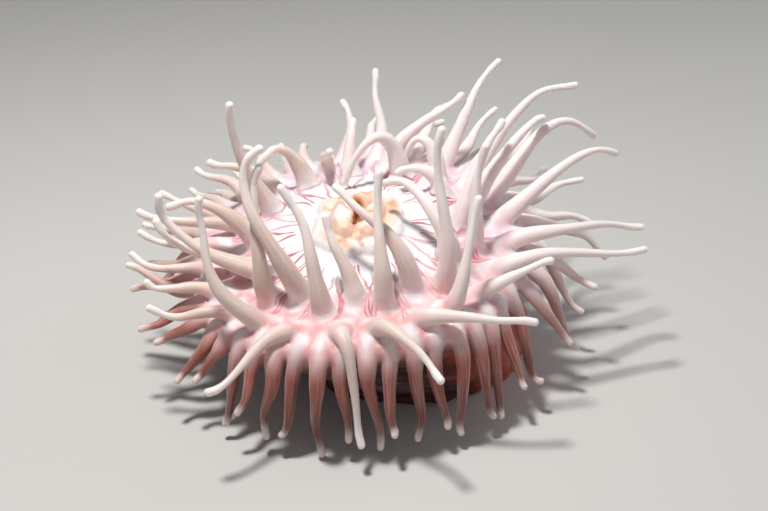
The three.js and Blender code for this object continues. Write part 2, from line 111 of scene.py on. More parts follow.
# Azimuth of the root in degrees, the tip's x, y and z, the bend of the end and, for some, its bow.
POSES = {
    "inner": [
        [0, 40, -4, 119, 0.1], [32, -4, 2, 90, 0.7], [64, -29, 6, 84, 1.8],
        [96, -26, 38, 101, 0.25], [122, -71, 10, 94, 0.8, 0.1], [152, -80, -6, 124, -0.1, -0.15],
        [182, -109, -20, 86, 0.35], [211, -109, -42, 101, -0.45, -0.32],
        [239, -58.5, -48, 121, 0.15, -0.48], [270, -37, -60, 97, -0.05],
        [301, -33, -48, 102, 0.35], [332, -10, -24, 99, 0.5],
    ],
    "second": [
        [15, 65, 12, 114, 0.3], [46, -1, 23, 89, 1.9], [75, 27, 44, 112, 0.15, 0.12],
        [107, -39, 8, 98, 0.1], [136, -95, 12, 94, 0.05], [166, -125, -10, 76, -0.25],
        [197, -113, -38, 84, -0.3, -0.1], [225, -61.5, -52, 114, 0.1, -0.1],
        [255, -51, -60, 110, 0.05, 0.08], [283, -13, -60, 116, 0, -0.05],
        [315, 15, -52, 131, 0, -0.1], [345, 32, -36, 118, -0.1, -0.1],
    ],
    "third": [
        [7.5, 99, 10, 98, 0.4], [22.5, 89, 30, 102, 0.7], [37.5, 80, 46, 122, 0.2, -0.1],
        [52.5, 49, 58, 129, 0.1, -0.1], [67.5, 22, 80, 96, 0.1], [82.5, -18, 70, 115, -0.1, 0.12],
        [97.5, -31, 64, 102, 0.1, 0.25], [112.5, -55, 70, 75, 0.2], [127.5, -81, 58, 80, 0.15],
        [142.5, -105, 38, 76, 0.1], [157.5, -118, 16, 71, -0.1], [172.5, -127, -3, 60, -0.3],
        [187.5, -128, -29, 62, -0.35], [202.5, -118, -50, 62, -0.2, -0.1],
        [217.5, -113, -70, 56, -0.15], [232.5, -85, -68, 110, 0, -0.3],
        [247.5, -84, -114, 46, -0.1], [264, -19, -110, 17, 0.2], [277.5, 13, -120, 56, 0.2],
        [292.5, 51, -94, 62, 0.1], [307.5, 28, -64, 106, 0], [322.5, 61, -64, 77, 0.15],
        [337.5, 107, -28, 66, 0], [352.5, 112, -10, 70, 0],
    ],
}

# The outer ring's rule: reach and height of the tips round the rim, with some scatter.
OUTER_AZIMUTHS = [0, 22, 50, 110, 190, 225, 265, 310, 335, 360]
OUTER_REACH = [112, 124, 118, 104, 105, 90, 81, 84, 95, 112]
OUTER_HEIGHT = [34, 64, 84, 62, 46, 19, 9, 12, 19, 34]
OUTER_BEND = [-0.05, 0, 0, 0, -0.1, -0.2, -0.2, -0.35, -0.35, -0.05]
LEAST_LOOSE = 0.5
REACH_SCATTER = 5
REACH_ZIGZAG = 3
HEIGHT_SCATTER = 8
HEIGHT_ZIGZAG = 6
SWING_SCATTER = 5
SWING_FORWARD = 4
BEND_SCATTER = 0.2

# ---------------------------------------------------------------- small helpers


def smoothstep(low, high, x):
    t = np.clip((x - low) / (high - low), 0, 1)
    return t * t * (3 - 2 * t)


def mix(a, b, share):
    return a + (b - a) * share


def unit(v):
    return v / np.linalg.norm(v, axis=-1, keepdims=True)


def scatter(i, kind):
    """A fixed scatter between -1 and 1 for item i, one for each kind."""
    s = np.sin(np.asarray(i) * 12.9898 + kind * 78.233) * 43758.5453
    return 2 * (s - np.floor(s)) - 1


def soft_min(a, b, k):
    """The smaller of two distances, rounded where they differ by less than k."""
    h = np.maximum(k - np.abs(a - b), 0) / k
    return np.minimum(a, b) - h * h * h * k / 6


# ---------------------------------------------------------------- lean and tilt of the body


def rise(x, y):
    """How far a place on the upright body rises where the tilt is complete."""
    return DISC_RISE_X * x + DISC_RISE_Y * y + FRONT_LIFT * smoothstep(LIFT_START, LIFT_FULL, -y)


def settle(x, y, z):
    """From the upright, round body to its place in the frame."""
    share = smoothstep(TILT_START, TILT_FULL, z)
    return x + MOUTH_X * share, y + MOUTH_Y * share, z + share * rise(x, y)


def upright(x, y, z, passes=12):
    """From a place in the frame to the upright body."""
    ux, uy, uz = x, y, z
    for _ in range(passes):
        share = smoothstep(TILT_START, TILT_FULL, uz)
        ux = x - MOUTH_X * share
        uy = y - MOUTH_Y * share
        uz = mix(uz, z - share * rise(ux, uy), 0.6)
    return ux, uy, uz


def on_disc(radius, azimuth):
    a = math.radians(azimuth)
    return np.array(settle(radius * math.cos(a), radius * math.sin(a), disc_height(radius)))


def disc_frame(radius, azimuth):
    step = 0.5
    turn = math.degrees(step / radius)
    slope = unit(on_disc(radius + step, azimuth) - on_disc(radius - step, azimuth))
    around = unit(on_disc(radius, azimuth + turn) - on_disc(radius, azimuth - turn))
    return unit(np.cross(slope, around)), slope


# ---------------------------------------------------------------- lines of the tentacles


def round_rim(azimuth, values):
    after = next(i for i, a in enumerate(OUTER_AZIMUTHS) if a > azimuth)
    share = smoothstep(OUTER_AZIMUTHS[after - 1], OUTER_AZIMUTHS[after], azimuth)
    return mix(values[after - 1], values[after], share)


def outer_pose(i):
    azimuth = (i + 0.5) * 360 / RINGS["outer"]["count"]
    a = math.radians(azimuth)
    side = 1 if i % 2 else -1
    middle = round_rim(azimuth, OUTER_HEIGHT)
    loose = mix(LEAST_LOOSE, 1, smoothstep(10, 50, middle))
    reach = round_rim(azimuth, OUTER_REACH)
    reach += loose * (REACH_SCATTER * scatter(i, 1) + REACH_ZIGZAG * side)
    height = middle + loose * (HEIGHT_SCATTER * scatter(i, 2) + HEIGHT_ZIGZAG * side)
    swing = a + (SWING_SCATTER * scatter(i, 3) + SWING_FORWARD * math.cos(a)) / reach
    x = MOUTH_X + reach * math.cos(swing)
    y = MOUTH_Y + reach * math.sin(swing)
    return [azimuth, x, y, height, round_rim(azimuth, OUTER_BEND) + BEND_SCATTER * scatter(i, 4)]


POSES["outer"] = [outer_pose(i) for i in range(RINGS["outer"]["count"])]


def girth(t, root, tip, taper):
    cone = (root - tip) * (1 - t) ** taper
    return tip + cone + KNOB * smoothstep(KNOB_START, KNOB_FULL, t)


def rest_line(ring, number, pose):
    """The line of a tentacle before the tentacles are moved apart."""
    azimuth, x, y, z, bend, bow = (*pose, 0)[:6]
    radius, root, lie = RINGS[ring]["radius"], RINGS[ring]["root"], RINGS[ring]["lie"]
    normal, slope = disc_frame(radius, azimuth)
    start = on_disc(radius, azimuth) - normal * ROOT_DEPTH * root
    tip = np.array([x, y, z], dtype=float)
    chord = tip - start
    length = np.linalg.norm(chord)
    leave = unit(mix(normal, slope, lie))
    first_reach = FIRST_REACH + ARCH_REACH * max(bend, 0) + DIVE_REACH * min(bend, 0)
    first = start + leave * length * first_reach
    last = tip - LAST_REACH * chord
    last[0] += bow * length
    last[2] += bend * length * BEND_REACH
    t = np.linspace(0, 1, SAMPLES)[:, None]
    curve = ((1 - t) ** 3 * start + 3 * (1 - t) ** 2 * t * first
             + 3 * (1 - t) * t * t * last + t ** 3 * tip)
    snake = RINGS[ring]["sway"] * length * np.sin(2 * math.pi * t ** 1.3) * smoothstep(0, 0.4, t)
    curl = CURL * length * smoothstep(CURL_START, 1, t) ** 1.5
    sideways = snake * scatter(number, 5 + radius) + curl * scatter(number, 7 + radius)
    upward = 0.7 * snake * scatter(number, 6 + radius) + curl * scatter(number, 8 + radius)
    return curve + sideways * unit(np.cross(chord, normal)) + upward * normal


def frame_distance(p):
    """Distance of points from the frame's body and the way out of it."""
    ux, uy, uz = upright(p[:, 0], p[:, 1], p[:, 2])
    radius = np.maximum(np.hypot(ux, uy), 1e-6)
    line = np.array(FRAME_LINE, dtype=float)
    best = np.full(len(p), np.inf)
    off_r, off_z, sign = np.zeros(len(p)), np.zeros(len(p)), np.ones(len(p))
    for (r0, z0), (r1, z1) in zip(line[:-1], line[1:]):
        dr, dz = r1 - r0, z1 - z0
        t = np.clip(((radius - r0) * dr + (uz - z0) * dz) / (dr * dr + dz * dz), 0, 1)
        a, b = radius - r0 - t * dr, uz - z0 - t * dz
        near = np.hypot(a, b) < best
        best = np.where(near, np.hypot(a, b), best)
        off_r, off_z = np.where(near, a, off_r), np.where(near, b, off_z)
        sign = np.where(near, np.where(dr * b - dz * a > 0, -1, 1), sign)
    size = np.maximum(best, 1e-6) * sign
    out = np.stack([off_r * ux / radius, off_r * uy / radius, off_z], axis=1) / size[:, None]
    return best * sign, out


def spread(rest, radii, give):
    """Moves the tentacles apart, off the body and off the floor, and keeps each line smooth."""
    count = len(rest)
    first, second = np.triu_indices(count, 1)
    middle = rest[:, SAMPLES // 2]
    near = np.linalg.norm(middle[first] - middle[second], axis=1) <= FAR_APART
    first, second = first[near], second[near]
    room = radii[first][:, 2:, None] + radii[second][:, None, 2:] + TENTACLE_GAP
    points = rest.copy()
    moves = np.zeros_like(rest)
    for _ in range(SPREAD_ROUNDS):
        push = np.zeros_like(rest)
        way = points[first][:, 2:, None] - points[second][:, None, 2:]
        distance = np.sqrt((way ** 2).sum(-1))
        pair, j, k = np.nonzero(room > distance)
        a, b = first[pair], second[pair]
        close = np.maximum(distance[pair, j, k], 1e-6)
        need = room[pair, j, k] - distance[pair, j, k]
        step = way[pair, j, k] * (0.6 * need / close)[:, None]
        share = (give[a] / (give[a] + give[b]))[:, None]
        np.add.at(push, (a, j + 2), step * share)
        np.add.at(push, (b, k + 2), step * (share - 1))
        free = points[:, FREE_FROM:].reshape(-1, 3)
        wide = radii[:, FREE_FROM:].reshape(-1)
        distance, out = frame_distance(free)
        off = out * (0.5 * np.maximum(wide + TENTACLE_GAP - distance, 0))[:, None]
        off[:, 2] += np.maximum(0, wide + FLOOR_GAP - free[:, 2])
        push[:, FREE_FROM:] += off.reshape(count, -1, 3)
        push[:, 0] = 0
        moves += push
        smooth = moves.copy()
        smooth[:, 1:-1] = 0.5 * moves[:, 1:-1] + 0.25 * (moves[:, :-2] + moves[:, 2:])
        smooth[:, -1] = 0.7 * moves[:, -1] + 0.3 * moves[:, -2]
        moves = smooth
        points = rest + moves
    return points


def root_spacing(a, b):
    """The square root of the distance between points, as the knots of a centripetal curve need it."""
    return ((b - a) ** 2).sum(-1, keepdims=True) ** 0.25


def through(points, t):
    """A centripetal curve through the points of every tentacle, at shares t of its spans."""
    before = 2 * points[:, :1] - points[:, 1:2]
    after = 2 * points[:, -1:] - points[:, -2:-1]
    known = np.concatenate([before, points, after], axis=1)
    place = t * (points.shape[1] - 1)
    span = np.minimum(place.astype(int), points.shape[1] - 2)
    w = (place - span)[None, :, None]
    p0, p1, p2, p3 = (known[:, span + i] for i in range(4))
    d0, d1, d2 = root_spacing(p0, p1), root_spacing(p1, p2), root_spacing(p2, p3)
    m1 = ((p1 - p0) / d0 - (p2 - p0) / (d0 + d1) + (p2 - p1) / d1) * d1
    m2 = ((p2 - p1) / d1 - (p3 - p1) / (d1 + d2) + (p3 - p2) / d2) * d1
    return p1 + m1 * w + (3 * (p2 - p1) - 2 * m1 - m2) * w ** 2 + (2 * (p1 - p2) + m1 + m2) * w ** 3


rings = [ring for ring in RINGS for _ in POSES[ring]]
roots, tips, tapers, give = (
    np.array([RINGS[ring][key] for ring in rings])[:, None] for key in ("root", "tip", "taper", "give")
)
rest = np.stack([rest_line(ring, i, pose) for ring in RINGS for i, pose in enumerate(POSES[ring])])
sample_radii = girth(np.linspace(0, 1, SAMPLES)[None, :], roots, tips, tapers)
lines = spread(rest, sample_radii, give[:, 0])

# ---------------------------------------------------------------- shape of the skin

VOXEL = 0.5
BAND = 8.0                      # distances are known this far from the body
SOFT_ROOT = 8.0                 # rounding where tentacles grow from the body
SOFT_FREE = 0.6                 # rounding where free tentacles come near each other
SOFT_END = 12.0                 # the rounding fades over this length of a tentacle
STEPS = 48                      # pieces along a tentacle
SKIN_ROOTS = {"inner": 6.0, "second": 5.8, "third": 5.4, "outer": 4.9}
SKIN_TAPERS = {"inner": 2.0, "second": 2.0, "third": 2.1, "outer": 1.3}

# Outline of the skin's body as [radius, height], upright, from the middle of the foot to the mouth.
OUTLINE = np.array([
    [0, 0], [30, 0], [54, 0], [59, 0.2], [60.3, 1.8], [59.6, 4.4], [60.2, 7], [61.8, 11],
    [63.6, 17], [64.4, 23], [64.3, 30], [64.4, 36], [65.4, 40.5], [68.5, 42.8], [72.2, 45.8],
    [75.0, 49.4], [75.9, 53.2], [75.0, 56.8], [72.4, 59.6], [68.5, 61.8], [63, 64.1], [55, 66.9],
    [44, 70.2], [31, 73.1], [18, 75], [0, 76],
], dtype=float)


def smooth_outline(points, per_span):
    t = np.linspace(0, 1, per_span * (len(points) - 1) + 1)
    flat = np.concatenate([points, np.zeros((len(points), 1))], axis=1)
    curve = through(flat[None], t)[0, :, :2]
    curve[:, 0] = np.maximum(curve[:, 0], 0)
    curve[:, 1] = np.maximum(curve[:, 1], 0)
    return curve


class Profile:
    """Signed distance from the upright outline, kept as a table."""

    STEP = 0.5
    LOW_R, LOW_Z, HIGH_R, HIGH_Z = -1.0, -16.0, 110.0, 100.0

    def __init__(self, outline):
        r = np.arange(self.LOW_R, self.HIGH_R, self.STEP)
        z = np.arange(self.LOW_Z, self.HIGH_Z, self.STEP)
        rr, zz = np.meshgrid(r, z, indexing="ij")
        best = np.full(rr.shape, np.inf)
        inside = np.zeros(rr.shape, dtype=bool)
        for (r0, z0), (r1, z1) in zip(outline[:-1], outline[1:]):
            dr, dz = r1 - r0, z1 - z0
            t = np.clip(((rr - r0) * dr + (zz - z0) * dz) / (dr * dr + dz * dz + 1e-12), 0, 1)
            best = np.minimum(best, (rr - r0 - t * dr) ** 2 + (zz - z0 - t * dz) ** 2)
            if dz != 0:
                crosses = (zz >= min(z0, z1)) & (zz < max(z0, z1))
                inside ^= crosses & (rr < r0 + (zz - z0) * dr / dz)
        self.table = np.where(inside, -np.sqrt(best), np.sqrt(best)).astype(np.float32)

    def __call__(self, radius, z):
        i = np.clip((radius - self.LOW_R) / self.STEP, 0, self.table.shape[0] - 1.001)
        j = np.clip((z - self.LOW_Z) / self.STEP, 0, self.table.shape[1] - 1.001)
        i0, j0 = i.astype(np.int32), j.astype(np.int32)
        u, v = i - i0, j - j0
        t = self.table
        low = mix(t[i0, j0], t[i0 + 1, j0], u)
        high = mix(t[i0, j0 + 1], t[i0 + 1, j0 + 1], u)
        return mix(low, high, v)


profile = Profile(smooth_outline(OUTLINE, 6))


def ripples(x, y, z, size, seed):
    """Smooth, fixed lumps between about -1 and 1, size mm across."""
    f = 2 * math.pi / size
    a = np.sin(f * (0.83 * x + 0.41 * y + 0.31 * z) + seed)
    b = np.sin(f * (-0.37 * x + 0.79 * y + 0.53 * z) + 1.7 * seed + 1.3 * a)
    c = np.sin(f * (0.47 * x - 0.57 * y + 0.71 * z) + 2.3 * seed + 1.1 * b)
    return (a + b + c) / 3


SLIT_HALF = 5.5                 # the mouth's slit runs this far to the front and back
SLIT_RADIUS = 1.3
MOUTH_WIDE = 0.86               # the lips reach further to the sides than to the front and back
MOUTH_RADIUS = 24               # nothing of the mouth lies outside this radius
INNER_OUT, INNER_UP, INNER_RADIUS = 6.0, 2.5, 4.7
OUTER_OUT, OUTER_UP, OUTER_RADIUS = 13.0, -0.5, 3.9
OUTER_FLAT = 0.8                # the outer lip is broader than it is high
INNER_LOBES = dict(folds=4, turn=0.9)
OUTER_LOBES = dict(folds=7, turn=2.1)
INNER_DEPTH = 0.30              # depth of the creases between the lobes
OUTER_DEPTH = 0.36
INNER_END = 9.6                 # the inner lip's creases end here
LIP_VALLEY = 9.8                # the lips meet here


def from_slit(x, y):
    """Distance from the middle line of the mouth's slit and the direction round it."""
    x = x + 1.4 * ripples(x, y, 0 * x, 15, 4)
    y = y + 1.6 * ripples(x, y, 0 * x, 13, 9)
    past_end = np.clip(y, -SLIT_HALF, SLIT_HALF)
    return np.hypot(x * MOUTH_WIDE, y - past_end), np.arctan2(y, x * 1.3)


def lobes(angle, depth, folds, turn):
    """Puffed lobes with creases between them, from 1 - depth to 1 round the mouth."""
    wave = folds / 2 * angle + 0.8 * np.sin(2 * angle + turn) + 0.5 * np.sin(3 * angle - turn)
    return 1 - depth + depth * np.abs(np.sin(wave + turn)) ** 0.7


def lips(x, y, z):
    """Distance from the lips, an inner and a lower, outer roll, with the disc's middle as zero."""
    out, angle = from_slit(x, y)
    inner_radius = INNER_RADIUS * lobes(angle, INNER_DEPTH, **INNER_LOBES)
    outer_radius = OUTER_RADIUS * lobes(angle, OUTER_DEPTH, **OUTER_LOBES)
    inner = np.hypot(out - INNER_OUT, z - INNER_UP) - inner_radius
    outer = np.hypot((out - OUTER_OUT) * OUTER_FLAT, z - OUTER_UP) - outer_radius
    return soft_min(inner, outer, 2.2)


def lip_crease(x, y):
    """1 in the creases of the lips and between their two rolls, 0 on their lobes."""
    out, angle = from_slit(x, y)
    inner, outer = (lobes(angle, 1.0, **sizes) for sizes in (INNER_LOBES, OUTER_LOBES))
    fold = np.where(out < INNER_END, inner, outer)
    between = 1 - smoothstep(0.4, 2.2, np.abs(out - LIP_VALLEY))
    return np.maximum(1 - smoothstep(0.35, 0.8, fold), 0.8 * between)


def slit(x, y, z):
    """Distance from the hollow of the mouth's slit."""
    out, _ = from_slit(x, y * 0.75)
    return np.hypot(out, 0.28 * (z + 1.5)) - SLIT_RADIUS


def body_distance(x, y, z):
    """Distance from the body with its ribs, furrows and lips."""
    ux, uy, uz = upright(x, y, z, 9)
    radius = np.hypot(ux, uy)
    azimuth = np.arctan2(uy, ux)
    d = profile(radius, uz)
    on_top = smoothstep(50, 60, uz)
    ribs = on_top * smoothstep(17, 30, radius) * (1 - smoothstep(66, 80, radius))
    d -= ribs * 0.24 * np.cos(48 * azimuth + 0.9 * np.sin(radius * 0.11))
    flutes = smoothstep(61, 69, radius) * smoothstep(42, 50, uz)
    d += flutes * 0.75 * np.cos(48 * azimuth + 0.25 * np.sin(7 * azimuth))
    swollen = on_top * smoothstep(16, 26, radius)
    d -= swollen * 0.35 * ripples(ux, uy, uz, 17, 3)
    side = (1 - smoothstep(40, 50, uz)) * smoothstep(48, 57, radius)
    furrow = np.sin(30 * azimuth + 2.2 * np.sin(3 * azimuth) + 0.9 * np.sin(uz * 0.13 + 4 * azimuth))
    wrinkle = np.sin(uz * 0.9 + 2.5 * np.sin(5 * azimuth))
    d -= side * (0.3 * furrow + 0.55 * ripples(ux, uy, uz, 19, 5) + 0.06 * wrinkle)
    skirt = (1 - smoothstep(2, 9, uz)) * smoothstep(48, 57, radius)
    d -= skirt * (0.7 * np.sin(9 * azimuth + 1.3) + 0.5 * np.sin(23 * azimuth))
    above = uz - MOUTH_HEIGHT
    near = radius < MOUTH_RADIUS
    if near.any():
        lx, ly, lz = ux[near], uy[near], above[near]
        lumps = 0.3 * ripples(lx, ly, lz, 7, 2)
        mouth = soft_min(d[near], lips(lx, ly, lz) - lumps, 2.6)
        hollow = slit(lx, ly, lz)
        d[near] = -soft_min(-mouth, hollow, 1.5)
    return np.maximum(d, -z)


# ---------------------------------------------------------------- the distance field

BRICK = 8                       # the body is filled in bricks of this many voxels each way
PART = 400                      # bricks that are worked out at once
RIM = 9                         # room round the tentacles' lines

low = np.floor((lines.reshape(-1, 3).min(0) - RIM) / VOXEL) * VOXEL
high = lines.reshape(-1, 3).max(0) + RIM
low[2] = -3 * VOXEL
shape = np.ceil((high - low) / VOXEL).astype(int) + 1
axes = [(low[i] + VOXEL * np.arange(shape[i])).astype(np.float32) for i in range(3)]
field = np.full(shape, BAND, dtype=np.float32)
soft = np.full(shape, SOFT_ROOT, dtype=np.float32)
owner = np.full(shape, -1, dtype=np.int8)


def fill_body():
    """Fills the field near the body, brick by brick, and marks what lies deep inside it."""
    side = BRICK * VOXEL
    starts = [np.arange(0, shape[i], BRICK) for i in range(3)]
    grid = np.meshgrid(*starts, indexing="ij")
    corner = np.stack([g.ravel() for g in grid], axis=1)
    middle = low + (corner + BRICK / 2) * VOXEL
    ux, uy, uz = upright(middle[:, 0], middle[:, 1], middle[:, 2])
    radius = np.hypot(ux, uy)
    d = profile(radius, uz)
    top = uz > 36
    reach = np.where(top, BAND, 2.5) + side * 0.95 + np.where((radius < 26) & top, 4, 0)
    inside = d < -reach
    for c in corner[inside]:
        field[c[0]:c[0] + BRICK, c[1]:c[1] + BRICK, c[2]:c[2] + BRICK] = -BAND
    chosen = corner[np.abs(d) <= reach]
    cell = np.stack(np.meshgrid(*[np.arange(BRICK)] * 3, indexing="ij"), -1).reshape(-1, 3)
    for part in np.array_split(chosen, max(1, len(chosen) // PART)):
        place = (part[:, None] + cell).reshape(-1, 3)
        place = place[(place < shape).all(1)]
        x, y, z = ((low[i] + VOXEL * place[:, i]).astype(np.float32) for i in range(3))
        field[place[:, 0], place[:, 1], place[:, 2]] = np.clip(body_distance(x, y, z), -BAND, BAND)


def softness(length):
    """How far a tentacle is rounded into what it meets, at a length from its root."""
    return mix(SOFT_ROOT, SOFT_FREE, smoothstep(0, 1, length / SOFT_END))


def add_tentacle(number, line, radius, length):
    """Joins one tentacle to the field. line has its points, radius and length their values."""
    reach = radius + softness(length) + 1.2
    lo = np.maximum(np.floor((np.min(line - reach[:, None], axis=0) - low) / VOXEL).astype(int), 0)
    hi = np.minimum(np.ceil((np.max(line + reach[:, None], axis=0) - low) / VOXEL).astype(int) + 1, shape)
    near = np.full(hi - lo, BAND, dtype=np.float32)
    where = np.zeros(hi - lo, dtype=np.float32)
    for s in range(len(line) - 1):
        a, b = line[s], line[s + 1]
        wide = max(reach[s], reach[s + 1])
        c0 = np.maximum(np.floor((np.minimum(a, b) - wide - low) / VOXEL).astype(int), lo)
        c1 = np.minimum(np.ceil((np.maximum(a, b) + wide - low) / VOXEL).astype(int) + 1, hi)
        if (c1 <= c0).any():
            continue
        x = axes[0][c0[0]:c1[0]][:, None, None] - a[0]
        y = axes[1][c0[1]:c1[1]][None, :, None] - a[1]
        z = axes[2][c0[2]:c1[2]][None, None, :] - a[2]
        way = b - a
        size = way @ way
        t = np.clip((x * way[0] + y * way[1] + z * way[2]) / size, 0, 1).astype(np.float32)
        off = np.sqrt((x - t * way[0]) ** 2 + (y - t * way[1]) ** 2 + (z - t * way[2]) ** 2)
        off -= radius[s] + t * (radius[s + 1] - radius[s])
        box = tuple(slice(c0[i] - lo[i], c1[i] - lo[i]) for i in range(3))
        closer = off < near[box]
        near[box] = np.where(closer, off, near[box])
        where[box] = np.where(closer, length[s] + t * (length[s + 1] - length[s]), where[box])
    known = near < BAND
    box = tuple(slice(lo[i], hi[i]) for i in range(3))
    d, at = near[known], where[known]
    old, old_soft = field[box][known], soft[box][known]
    own_soft = softness(at).astype(np.float32)
    field[box][known] = soft_min(old, d, np.minimum(old_soft, own_soft))
    mine = d < old
    soft[box][known] = np.where(mine, own_soft, old_soft)
    owner[box][known] = np.where(mine, number, owner[box][known])


def lengths_past_disc(line, ring):
    """Length along a line from where it leaves the body, below 0 inside."""
    steps = np.linalg.norm(np.diff(line, axis=0), axis=1)
    length = np.concatenate([[0], np.cumsum(steps)])
    return length - ROOT_DEPTH * RINGS[ring]["root"]


shares = np.linspace(0, 1, STEPS + 1)
fine = through(lines, shares)
skin_roots = np.array([SKIN_ROOTS[ring] for ring in rings])[:, None]
skin_tapers = np.array([SKIN_TAPERS[ring] for ring in rings])[:, None]
fine_radii = girth(shares[None, :], skin_roots, tips, skin_tapers)
lumpy = np.stack([
    0.045 * np.sin(9 * shares + 6 * scatter(i, 21)) + 0.03 * np.sin(23 * shares + 6 * scatter(i, 22))
    for i in range(len(lines))
])
middle_part = smoothstep(0.05, 0.3, shares) * (1 - smoothstep(0.85, 0.97, shares))
fine_radii = fine_radii * (1 + lumpy * middle_part)
past = np.stack([lengths_past_disc(line, ring) for line, ring in zip(fine, rings)])

fill_body()
for number in range(len(lines)):
    add_tentacle(number, fine[number], fine_radii[number], past[number])

# ---------------------------------------------------------------- the mesh

volume = openvdb.FloatGrid(BAND)
volume.copyFromArray(field)
points, quads = volume.convertToQuads(0.0)


def sample(at):
    """The field and its slope at places given in voxels."""
    base = np.clip(np.floor(at).astype(np.int32), 0, shape - 2)
    u, v, w = (at - base).T
    i, j, k = base.T
    c = {(a, b, e): field[i + a, j + b, k + e] for a in (0, 1) for b in (0, 1) for e in (0, 1)}
    x00, x10 = mix(c[0, 0, 0], c[1, 0, 0], u), mix(c[0, 1, 0], c[1, 1, 0], u)
    x01, x11 = mix(c[0, 0, 1], c[1, 0, 1], u), mix(c[0, 1, 1], c[1, 1, 1], u)
    value = mix(mix(x00, x10, v), mix(x01, x11, v), w)
    gw = mix(x01, x11, v) - mix(x00, x10, v)
    gv = mix(x10 - x00, x11 - x01, w)
    g0 = mix(c[1, 0, 0] - c[0, 0, 0], c[1, 1, 0] - c[0, 1, 0], v)
    g1 = mix(c[1, 0, 1] - c[0, 0, 1], c[1, 1, 1] - c[0, 1, 1], v)
    return value, np.stack([mix(g0, g1, w), gv, gw], axis=1)


def in_main_piece(count, edges):
    """Which of the points hang together with most of the others."""
    label = np.arange(count)
    before = None
    while before is None or (label != before).any():
        before = label.copy()
        ends = label[edges]
        least = ends.min(axis=1)
        for side in (0, 1):
            np.minimum.at(label, ends[:, side], least)
        label = label[label]
    return label == np.bincount(label).argmax()


def quad_edges(quads):
    return np.concatenate([quads[:, [i, (i + 1) % 4]] for i in range(4)]).astype(np.int64)


# Only the skin is kept: small bubbles that are closed in by the flesh are left out.
kept = in_main_piece(len(points), quad_edges(quads))
quads = (np.cumsum(kept) - 1)[quads[kept[quads[:, 0]]]]
# The corners are evened out among their neighbours, and then put back on the surface.
SMOOTH_ROUNDS = 2
PUT_BACK_ROUNDS = 2
SMOOTH_SHARE = 0.6

at = points[kept].astype(np.float64)
edges = quad_edges(quads)
one_end, other_end = edges.T
degree = np.bincount(edges.ravel(), minlength=len(at))
for _ in range(SMOOTH_ROUNDS):
    total = np.zeros_like(at)
    for i in range(3):
        total[:, i] = np.bincount(one_end, at[other_end, i], len(at))
        total[:, i] += np.bincount(other_end, at[one_end, i], len(at))
    moved = mix(at, total / degree[:, None], SMOOTH_SHARE)
    for _ in range(PUT_BACK_ROUNDS):
        value, slope = sample(moved)
        steep = np.maximum((slope ** 2).sum(1), 0.05)
        moved -= slope * np.clip(value / steep, -0.8, 0.8)[:, None]
    at = moved
place = low + at * VOXEL
place[:, 2] = np.maximum(place[:, 2], 0)

# ---------------------------------------------------------------- painting by place


def nearest_on_line(p, line, values):
    """For points p: the values at the nearest place of a line, and that place."""
    best = np.full(len(p), np.inf)
    found = np.zeros((len(p), values.shape[1]))
    nearest = np.zeros((len(p), 3))
    for s in range(len(line) - 1):
        way = line[s + 1] - line[s]
        t = np.clip(((p - line[s]) @ way) / (way @ way), 0, 1)[:, None]
        on = line[s] + t * way
        off = ((p - on) ** 2).sum(1)
        closer = off < best
        best = np.where(closer, off, best)
        found[closer] = mix(values[s], values[s + 1], t[closer])
        nearest[closer] = on[closer]
    return found, nearest


def turning_frame(line):
    """Two directions across a line that don't twist round it."""
    along = unit(np.gradient(line, axis=0))
    across = np.zeros_like(line)
    side = np.cross(along[0], [0.3, 0.2, 1.0])
    for i in range(len(line)):
        side = unit(side - (side @ along[i]) * along[i])
        across[i] = side
    return across, np.cross(along, across)


ux, uy, uz = upright(place[:, 0], place[:, 1], place[:, 2])
radius = np.hypot(ux, uy)
azimuth = np.arctan2(uy, ux)
cell = np.clip(np.round((place - low) / VOXEL).astype(int), 0, shape - 1)
own = owner[cell[:, 0], cell[:, 1], cell[:, 2]].astype(int)

count = len(place)
free = np.zeros(count)
share_along = np.zeros(count)
tone = np.full(count, 0.5)
hanging = np.full(count, 0.5)
tube = np.stack([ux * 0.2, uy * 0.2, uz * 0.2], axis=1)
for number in range(len(lines)):
    mine = np.nonzero(own == number)[0]
    if not len(mine):
        continue
    across, third = turning_frame(fine[number])
    values = np.concatenate([past[number][:, None], shares[:, None], across, third], axis=1)
    found, on = nearest_on_line(place[mine], fine[number], values)
    length = found[:, 0]
    away = unit(place[mine] - on)
    free[mine] = smoothstep(-1, 15, length)
    share_along[mine] = found[:, 1]
    tone[mine] = 0.5 + 0.5 * scatter(number, 31)
    hanging[mine] = 1.0 if rings[number] == "outer" else 0.2
    tube[mine, 0] = (away * found[:, 2:5]).sum(1)
    tube[mine, 1] = (away * found[:, 5:8]).sum(1)
    tube[mine, 2] = 0.05 * length + number * 7.3

# Lines of pigment come in pairs: from the mouth along both sides of a root and a little past it, with
# an arc round the side of the root that faces the mouth. ink is the distance from the nearest line.
PAIR = 1.35                     # distance between the two lines of a pair
LINE_START = {"inner": 27, "second": 31}
LINE_PAST = 7                   # they end this far past the root,
LINE_PAST_RIGHT = 9             # and so much further at the right of the front
ARC_GAP = 0.8                   # from the root to its arc

